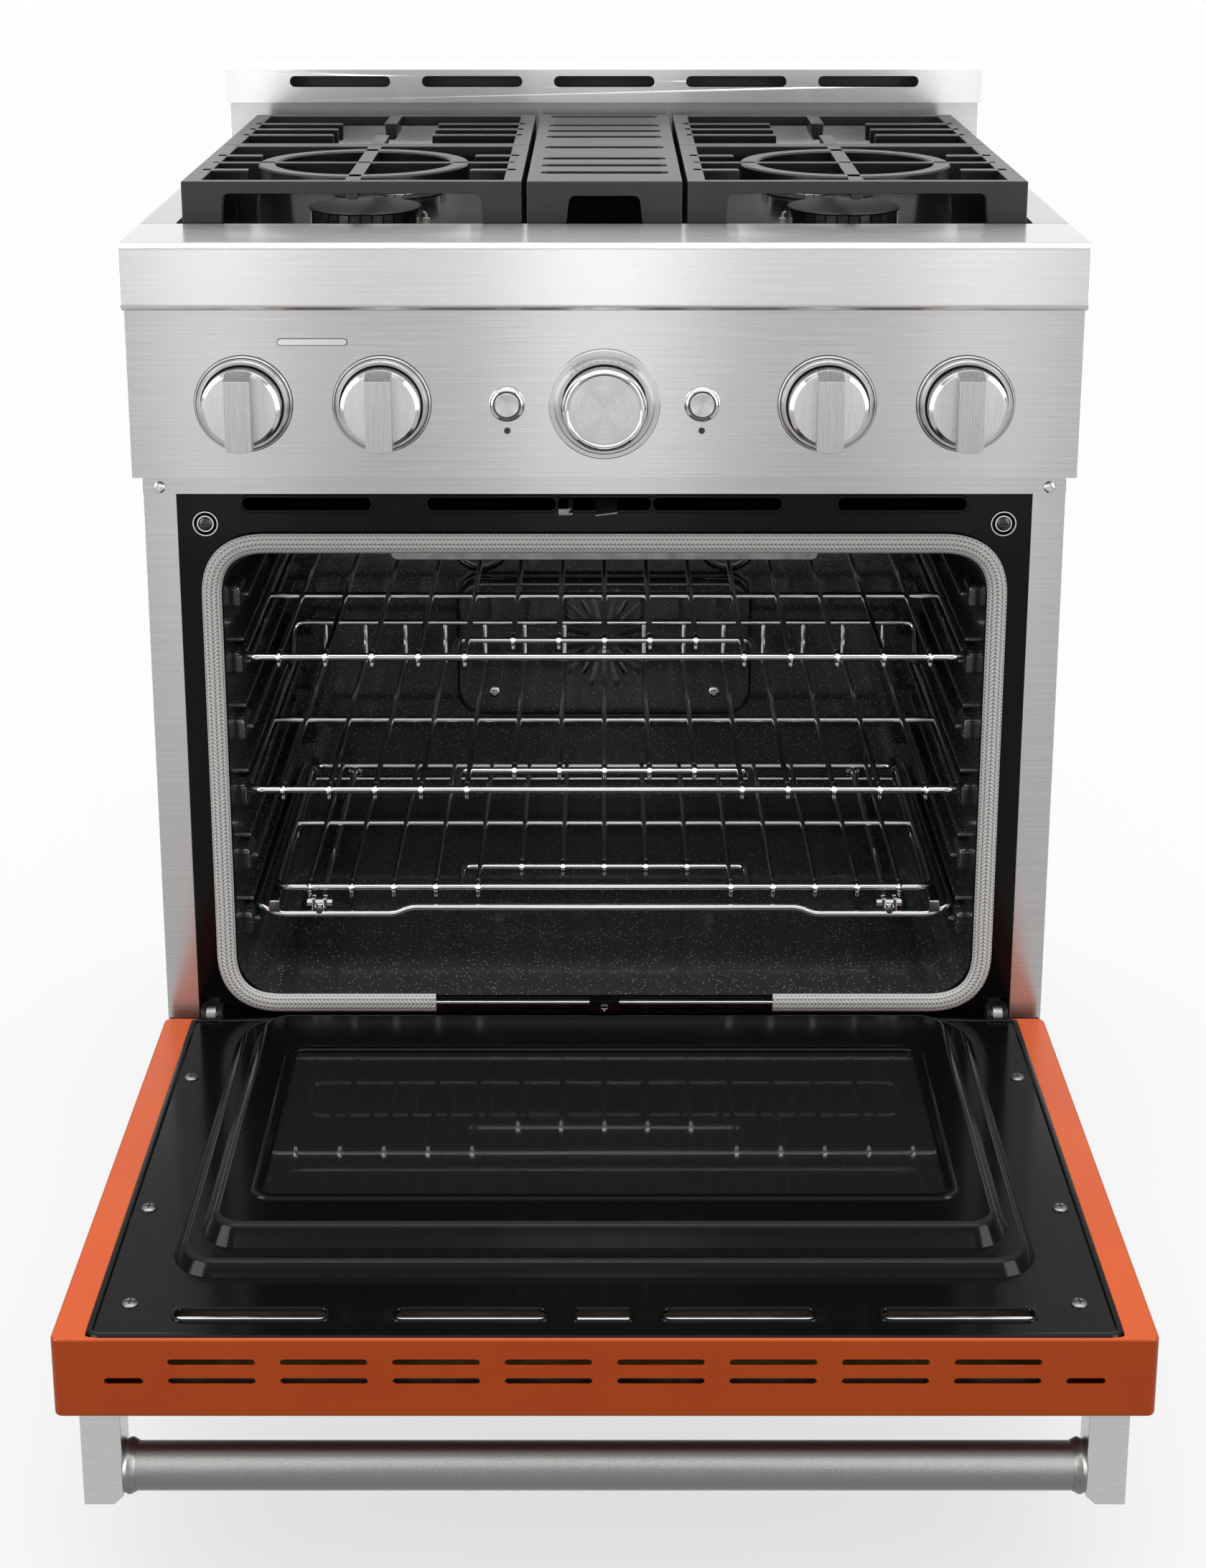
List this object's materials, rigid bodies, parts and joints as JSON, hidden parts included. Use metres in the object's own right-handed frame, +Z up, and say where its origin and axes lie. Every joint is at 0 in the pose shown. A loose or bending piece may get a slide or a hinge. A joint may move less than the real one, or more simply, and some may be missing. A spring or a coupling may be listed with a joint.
{
  "type": "freestanding gas range",
  "caption": "Freestanding gas range with sealed burners, cast-iron grates, an open drop-down oven door with a window, wire racks, knobs and a backguard.",
  "frame": {"origin": "on the floor, under the middle of the whole object's box with the door open", "axes": "+Z up, the oven door's front faces -Y, +X to the right seen from the front"},
  "size_m": [0.759, 1.131, 0.989],
  "materials": {
    "stainless": "horizontal brushed grain",
    "pan_steel": "stainless rim with a dark enamelled recess",
    "galvanised": "satin",
    "porcelain": "glossy black enamel with fine pale specks",
    "black_plastic": "moulded",
    "insulation": "loose mineral wool",
    "fibreglass": "woven braid",
    "chrome": "polished plate",
    "dull_steel": "plain mill finish",
    "knob_metal": "satin chrome plate",
    "spun_steel": "face turned in circles",
    "cast_iron": "matte enamelled casting",
    "aluminium": "die cast",
    "brass": "machined",
    "orange_paint": "gloss powder coat",
    "glass": "clear tempered sheet"
  },
  "bodies": {
    "range_body": {"side_panels": "stainless", "control_panel": "stainless", "bullnose": "stainless", "trim_strip": "stainless", "backguard": "stainless", "backguard_cap": "stainless", "gasket_clip": "stainless", "cooktop_pan": "pan_steel", "back_panel": "galvanised", "fan_motor": "galvanised", "leveling_legs": "galvanised", "gas_regulator": "galvanised", "base_frame": "porcelain", "front_frame": "porcelain", "oven_liner": "porcelain", "rack_guides": "porcelain", "fan_baffle": "porcelain", "switch_blocks": "black_plastic", "power_gland": "black_plastic", "oven_insulation": "insulation", "door_gasket": "fibreglass", "oven_lamps": "chrome", "frame_screws": "chrome", "control_bezels": "chrome", "dial_bezel": "chrome", "badge_plate": "chrome", "roll_out_frame": "chrome", "broil_burner": "dull_steel", "hinge_receivers": "dull_steel", "latch_hooks": "dull_steel", "grates_front": "cast_iron", "grates_rear": "cast_iron", "grate_center": "cast_iron", "burner_caps": "cast_iron", "burner_heads": "aluminium", "gas_manifold": "brass"},
    "door": {"door_skin": "orange_paint", "door_liner": "porcelain", "door_glass": "glass", "glass_frame": "dull_steel", "door_insulation": "insulation", "handle_bar": "stainless", "handle_posts": "chrome", "door_screws": "chrome", "hinge_arms": "dull_steel"},
    "upper_rack": {"rack_upper": "chrome"},
    "middle_rack": {"rack_middle": "chrome"},
    "lower_rack": {"rack_lower": "chrome"},
    "valve_stem_1": {"stem_1": "dull_steel"},
    "valve_stem_2": {"stem_2": "dull_steel"},
    "valve_stem_3": {"stem_3": "dull_steel"},
    "valve_stem_4": {"stem_4": "dull_steel"},
    "burner_knob_1": {"knob_1": "knob_metal"},
    "burner_knob_2": {"knob_2": "knob_metal"},
    "burner_knob_3": {"knob_3": "knob_metal"},
    "burner_knob_4": {"knob_4": "knob_metal"},
    "thermostat_dial": {"oven_dial": "spun_steel"},
    "left_button": {"button_left": "spun_steel"},
    "right_button": {"button_right": "spun_steel"},
    "fan": {"fan_wheel": "dull_steel"}
  },
  "joints": [
    {"name": "door_hinge", "type": "hinge", "parent": "range_body", "child": "door", "pos_m": [0, -0.079, 0.232], "axis": [1, 0, 0], "range_deg": [-90, 0]},
    {"name": "upper_rack_slide", "type": "slide", "parent": "range_body", "child": "upper_rack", "axis": [0, -1, 0], "range_m": [0, 0.28]},
    {"name": "middle_rack_slide", "type": "slide", "parent": "range_body", "child": "middle_rack", "axis": [0, -1, 0], "range_m": [0, 0.28]},
    {"name": "lower_rack_slide", "type": "slide", "parent": "range_body", "child": "lower_rack", "axis": [0, -1, 0], "range_m": [0, 0.28]},
    {"name": "knob_1_push", "type": "slide", "parent": "range_body", "child": "valve_stem_1", "axis": [0, 1, 0], "range_m": [0, 0.003], "stiffness_N_per_m": 600},
    {"name": "knob_1_turn", "type": "hinge", "parent": "valve_stem_1", "child": "burner_knob_1", "pos_m": [-0.287, -0.119, 0.78397], "axis": [0, -1, 0], "range_deg": [0, 270]},
    {"name": "knob_2_push", "type": "slide", "parent": "range_body", "child": "valve_stem_2", "axis": [0, 1, 0], "range_m": [0, 0.003], "stiffness_N_per_m": 600},
    {"name": "knob_2_turn", "type": "hinge", "parent": "valve_stem_2", "child": "burner_knob_2", "pos_m": [-0.177, -0.119, 0.78397], "axis": [0, -1, 0], "range_deg": [0, 270]},
    {"name": "knob_3_push", "type": "slide", "parent": "range_body", "child": "valve_stem_3", "axis": [0, 1, 0], "range_m": [0, 0.003], "stiffness_N_per_m": 600},
    {"name": "knob_3_turn", "type": "hinge", "parent": "valve_stem_3", "child": "burner_knob_3", "pos_m": [0.177, -0.119, 0.78397], "axis": [0, -1, 0], "range_deg": [0, 270]},
    {"name": "knob_4_push", "type": "slide", "parent": "range_body", "child": "valve_stem_4", "axis": [0, 1, 0], "range_m": [0, 0.003], "stiffness_N_per_m": 600},
    {"name": "knob_4_turn", "type": "hinge", "parent": "valve_stem_4", "child": "burner_knob_4", "pos_m": [0.287, -0.119, 0.78397], "axis": [0, -1, 0], "range_deg": [0, 270]},
    {"name": "dial_turn", "type": "hinge", "parent": "range_body", "child": "thermostat_dial", "pos_m": [0, -0.119, 0.78397], "axis": [0, -1, 0], "range_deg": [0, 300]},
    {"name": "left_button_press", "type": "slide", "parent": "range_body", "child": "left_button", "axis": [0, 1, 0], "range_m": [0, 0.002], "stiffness_N_per_m": 400},
    {"name": "right_button_press", "type": "slide", "parent": "range_body", "child": "right_button", "axis": [0, 1, 0], "range_m": [0, 0.002], "stiffness_N_per_m": 400},
    {"name": "fan_spin", "type": "hinge", "parent": "range_body", "child": "fan", "pos_m": [0, 0.385, 0.429], "axis": [0, 1, 0], "continuous": true}
  ]
}
